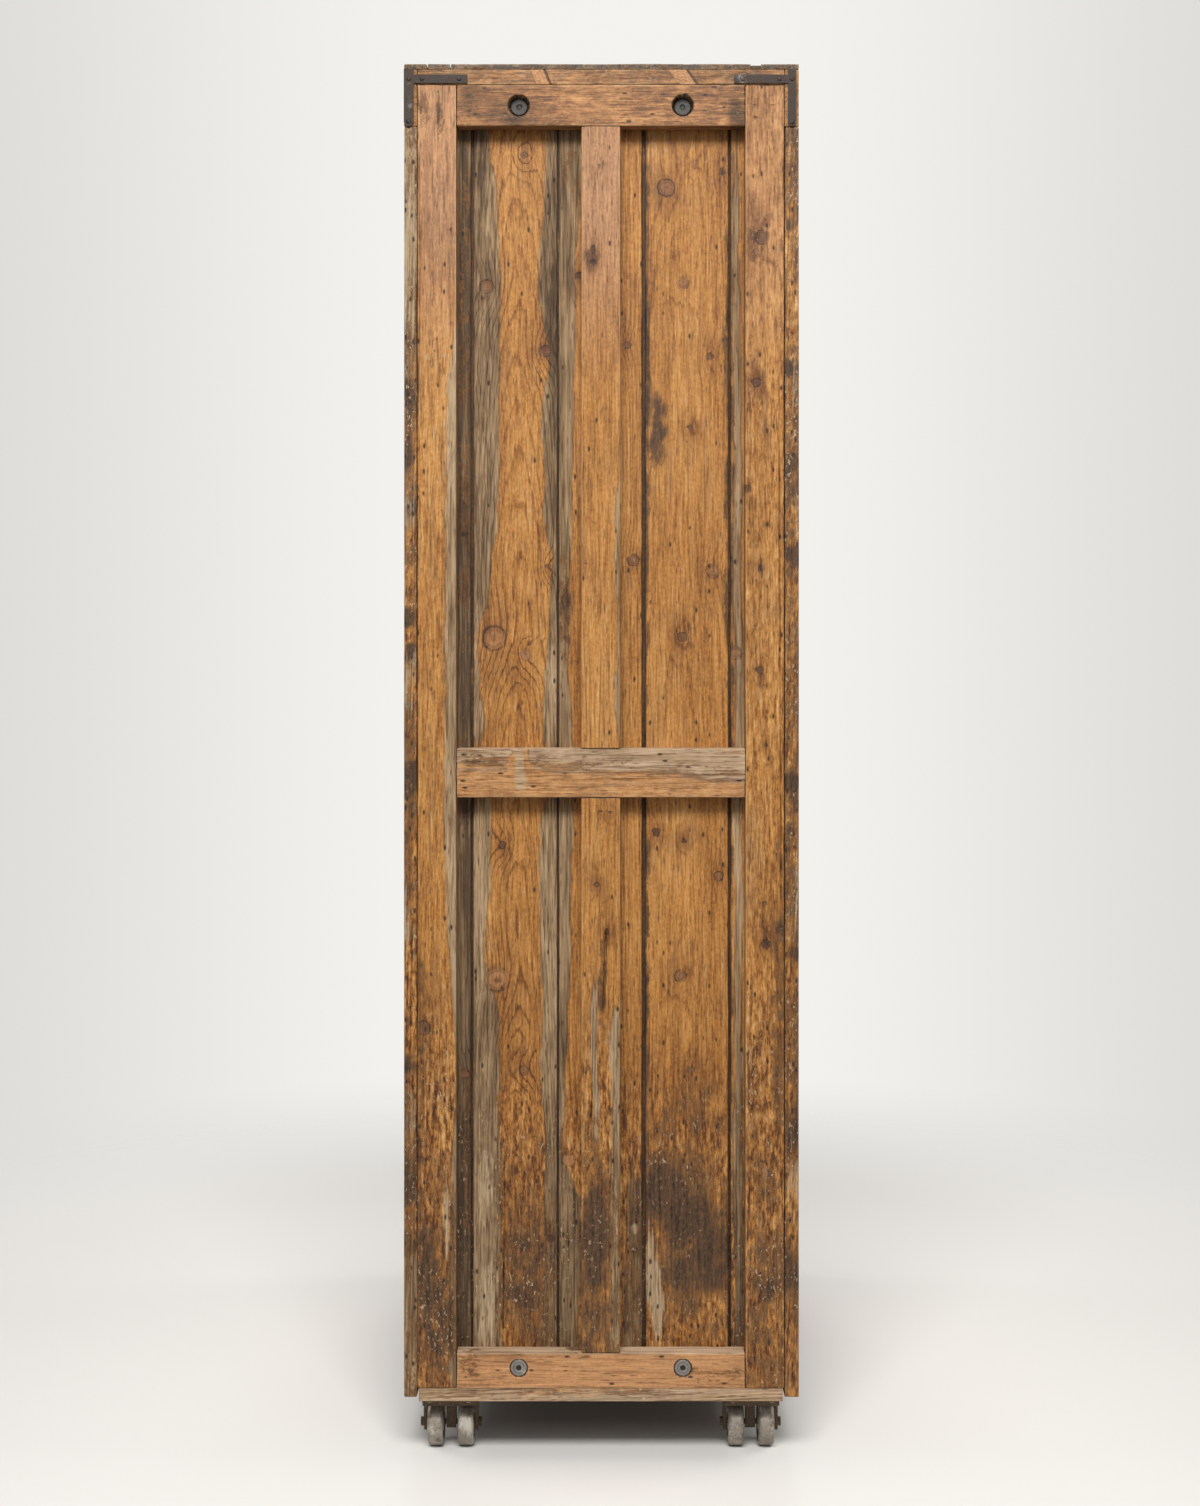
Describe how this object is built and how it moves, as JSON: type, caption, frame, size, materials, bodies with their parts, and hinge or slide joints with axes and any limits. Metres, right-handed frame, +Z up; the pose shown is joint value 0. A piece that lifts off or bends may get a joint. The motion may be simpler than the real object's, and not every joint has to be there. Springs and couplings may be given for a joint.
{
  "type": "printers type cabinet",
  "caption": "Tall weathered pine printers' type cabinet: panelled matchboard ends, sliding type cases on runners, iron corner straps and twin-wheel swivel casters.",
  "frame": {"origin": "on the floor under the middle of the cabinet's overall box", "axes": "+Z up, X along the cabinet with the pictured end at +X, +Y from the front with the cases to the back"},
  "size_m": [0.9232, 0.566, 2],
  "materials": {
    "pine": "old waxed pine, weathered",
    "cap_wood": "dark weathered end grain",
    "inner_wood": "plain dry pine",
    "case_wood": "worn beech and pine",
    "strap_iron": "rusty wrought iron",
    "bolt_steel": "dull worn steel",
    "caster_iron": "dark rusty iron",
    "wheel_iron": "worn iron tread"
  },
  "bodies": {
    "cabinet": {"right_end_front_stile": "pine", "right_end_back_stile": "pine", "right_end_top_rail": "pine", "right_end_mid_rail": "pine", "right_end_bottom_rail": "pine", "right_end_muntins": "pine", "right_end_boards": "pine", "left_end_front_stile": "pine", "left_end_back_stile": "pine", "left_end_top_rail": "pine", "left_end_mid_rail": "pine", "left_end_bottom_rail": "pine", "left_end_muntins": "pine", "left_end_boards": "pine", "front_posts": "pine", "front_rails": "pine", "back_boards": "pine", "back_header": "pine", "base_boards": "pine", "top_deck_boards": "pine", "top_cap_boards": "cap_wood", "tie_rails": "inner_wood", "case_runners": "inner_wood", "tie_bolts": "bolt_steel", "caster_screws": "bolt_steel", "corner_straps": "strap_iron", "strap_nails": "strap_iron", "caster_plates": "caster_iron"},
    "type_case_01": {"type_case_01": "case_wood"},
    "type_case_02": {"type_case_02": "case_wood"},
    "type_case_03": {"type_case_03": "case_wood"},
    "type_case_04": {"type_case_04": "case_wood"},
    "type_case_05": {"type_case_05": "case_wood"},
    "type_case_06": {"type_case_06": "case_wood"},
    "type_case_07": {"type_case_07": "case_wood"},
    "type_case_08": {"type_case_08": "case_wood"},
    "type_case_09": {"type_case_09": "case_wood"},
    "type_case_10": {"type_case_10": "case_wood"},
    "type_case_11": {"type_case_11": "case_wood"},
    "type_case_12": {"type_case_12": "case_wood"},
    "type_case_13": {"type_case_13": "case_wood"},
    "type_case_14": {"type_case_14": "case_wood"},
    "type_case_15": {"type_case_15": "case_wood"},
    "type_case_16": {"type_case_16": "case_wood"},
    "type_case_17": {"type_case_17": "case_wood"},
    "type_case_18": {"type_case_18": "case_wood"},
    "type_case_19": {"type_case_19": "case_wood"},
    "type_case_20": {"type_case_20": "case_wood"},
    "caster_fork_front_right": {"caster_fork_front_right": "caster_iron"},
    "caster_wheel_front_right_a": {"caster_wheel_front_right_a": "wheel_iron"},
    "caster_wheel_front_right_b": {"caster_wheel_front_right_b": "wheel_iron"},
    "caster_fork_back_right": {"caster_fork_back_right": "caster_iron"},
    "caster_wheel_back_right_a": {"caster_wheel_back_right_a": "wheel_iron"},
    "caster_wheel_back_right_b": {"caster_wheel_back_right_b": "wheel_iron"},
    "caster_fork_front_left": {"caster_fork_front_left": "caster_iron"},
    "caster_wheel_front_left_a": {"caster_wheel_front_left_a": "wheel_iron"},
    "caster_wheel_front_left_b": {"caster_wheel_front_left_b": "wheel_iron"},
    "caster_fork_back_left": {"caster_fork_back_left": "caster_iron"},
    "caster_wheel_back_left_a": {"caster_wheel_back_left_a": "wheel_iron"},
    "caster_wheel_back_left_b": {"caster_wheel_back_left_b": "wheel_iron"}
  },
  "joints": [
    {"name": "type_case_01_slide", "type": "slide", "parent": "cabinet", "child": "type_case_01", "axis": [0, -1, 0], "range_m": [0, 0.38]},
    {"name": "type_case_02_slide", "type": "slide", "parent": "cabinet", "child": "type_case_02", "axis": [0, -1, 0], "range_m": [0, 0.38]},
    {"name": "type_case_03_slide", "type": "slide", "parent": "cabinet", "child": "type_case_03", "axis": [0, -1, 0], "range_m": [0, 0.38]},
    {"name": "type_case_04_slide", "type": "slide", "parent": "cabinet", "child": "type_case_04", "axis": [0, -1, 0], "range_m": [0, 0.38]},
    {"name": "type_case_05_slide", "type": "slide", "parent": "cabinet", "child": "type_case_05", "axis": [0, -1, 0], "range_m": [0, 0.38]},
    {"name": "type_case_06_slide", "type": "slide", "parent": "cabinet", "child": "type_case_06", "axis": [0, -1, 0], "range_m": [0, 0.38]},
    {"name": "type_case_07_slide", "type": "slide", "parent": "cabinet", "child": "type_case_07", "axis": [0, -1, 0], "range_m": [0, 0.38]},
    {"name": "type_case_08_slide", "type": "slide", "parent": "cabinet", "child": "type_case_08", "axis": [0, -1, 0], "range_m": [0, 0.38]},
    {"name": "type_case_09_slide", "type": "slide", "parent": "cabinet", "child": "type_case_09", "axis": [0, -1, 0], "range_m": [0, 0.38]},
    {"name": "type_case_10_slide", "type": "slide", "parent": "cabinet", "child": "type_case_10", "axis": [0, -1, 0], "range_m": [0, 0.38]},
    {"name": "type_case_11_slide", "type": "slide", "parent": "cabinet", "child": "type_case_11", "axis": [0, -1, 0], "range_m": [0, 0.38]},
    {"name": "type_case_12_slide", "type": "slide", "parent": "cabinet", "child": "type_case_12", "axis": [0, -1, 0], "range_m": [0, 0.38]},
    {"name": "type_case_13_slide", "type": "slide", "parent": "cabinet", "child": "type_case_13", "axis": [0, -1, 0], "range_m": [0, 0.38]},
    {"name": "type_case_14_slide", "type": "slide", "parent": "cabinet", "child": "type_case_14", "axis": [0, -1, 0], "range_m": [0, 0.38]},
    {"name": "type_case_15_slide", "type": "slide", "parent": "cabinet", "child": "type_case_15", "axis": [0, -1, 0], "range_m": [0, 0.38]},
    {"name": "type_case_16_slide", "type": "slide", "parent": "cabinet", "child": "type_case_16", "axis": [0, -1, 0], "range_m": [0, 0.38]},
    {"name": "type_case_17_slide", "type": "slide", "parent": "cabinet", "child": "type_case_17", "axis": [0, -1, 0], "range_m": [0, 0.38]},
    {"name": "type_case_18_slide", "type": "slide", "parent": "cabinet", "child": "type_case_18", "axis": [0, -1, 0], "range_m": [0, 0.38]},
    {"name": "type_case_19_slide", "type": "slide", "parent": "cabinet", "child": "type_case_19", "axis": [0, -1, 0], "range_m": [0, 0.38]},
    {"name": "type_case_20_slide", "type": "slide", "parent": "cabinet", "child": "type_case_20", "axis": [0, -1, 0], "range_m": [0, 0.38]},
    {"name": "caster_fork_front_right_swivel", "type": "hinge", "parent": "cabinet", "child": "caster_fork_front_right", "pos_m": [0.4115, -0.219, 0.075], "axis": [0, 0, 1], "continuous": true},
    {"name": "caster_wheel_front_right_a_spin", "type": "hinge", "parent": "caster_fork_front_right", "child": "caster_wheel_front_right_a", "pos_m": [0.3915, -0.219, 0.033], "axis": [0, 1, 0], "continuous": true},
    {"name": "caster_wheel_front_right_b_spin", "type": "hinge", "parent": "caster_fork_front_right", "child": "caster_wheel_front_right_b", "pos_m": [0.3915, -0.219, 0.033], "axis": [0, 1, 0], "continuous": true},
    {"name": "caster_fork_back_right_swivel", "type": "hinge", "parent": "cabinet", "child": "caster_fork_back_right", "pos_m": [0.4115, 0.217, 0.075], "axis": [0, 0, 1], "continuous": true},
    {"name": "caster_wheel_back_right_a_spin", "type": "hinge", "parent": "caster_fork_back_right", "child": "caster_wheel_back_right_a", "pos_m": [0.3915, 0.217, 0.033], "axis": [0, 1, 0], "continuous": true},
    {"name": "caster_wheel_back_right_b_spin", "type": "hinge", "parent": "caster_fork_back_right", "child": "caster_wheel_back_right_b", "pos_m": [0.3915, 0.217, 0.033], "axis": [0, 1, 0], "continuous": true},
    {"name": "caster_fork_front_left_swivel", "type": "hinge", "parent": "cabinet", "child": "caster_fork_front_left", "pos_m": [-0.4115, -0.219, 0.075], "axis": [0, 0, 1], "continuous": true},
    {"name": "caster_wheel_front_left_a_spin", "type": "hinge", "parent": "caster_fork_front_left", "child": "caster_wheel_front_left_a", "pos_m": [-0.4115, -0.199, 0.033], "axis": [1, 0, 0], "continuous": true},
    {"name": "caster_wheel_front_left_b_spin", "type": "hinge", "parent": "caster_fork_front_left", "child": "caster_wheel_front_left_b", "pos_m": [-0.4115, -0.199, 0.033], "axis": [1, 0, 0], "continuous": true},
    {"name": "caster_fork_back_left_swivel", "type": "hinge", "parent": "cabinet", "child": "caster_fork_back_left", "pos_m": [-0.4115, 0.217, 0.075], "axis": [0, 0, 1], "continuous": true},
    {"name": "caster_wheel_back_left_a_spin", "type": "hinge", "parent": "caster_fork_back_left", "child": "caster_wheel_back_left_a", "pos_m": [-0.4115, 0.197, 0.033], "axis": [1, 0, 0], "continuous": true},
    {"name": "caster_wheel_back_left_b_spin", "type": "hinge", "parent": "caster_fork_back_left", "child": "caster_wheel_back_left_b", "pos_m": [-0.4115, 0.197, 0.033], "axis": [1, 0, 0], "continuous": true}
  ]
}
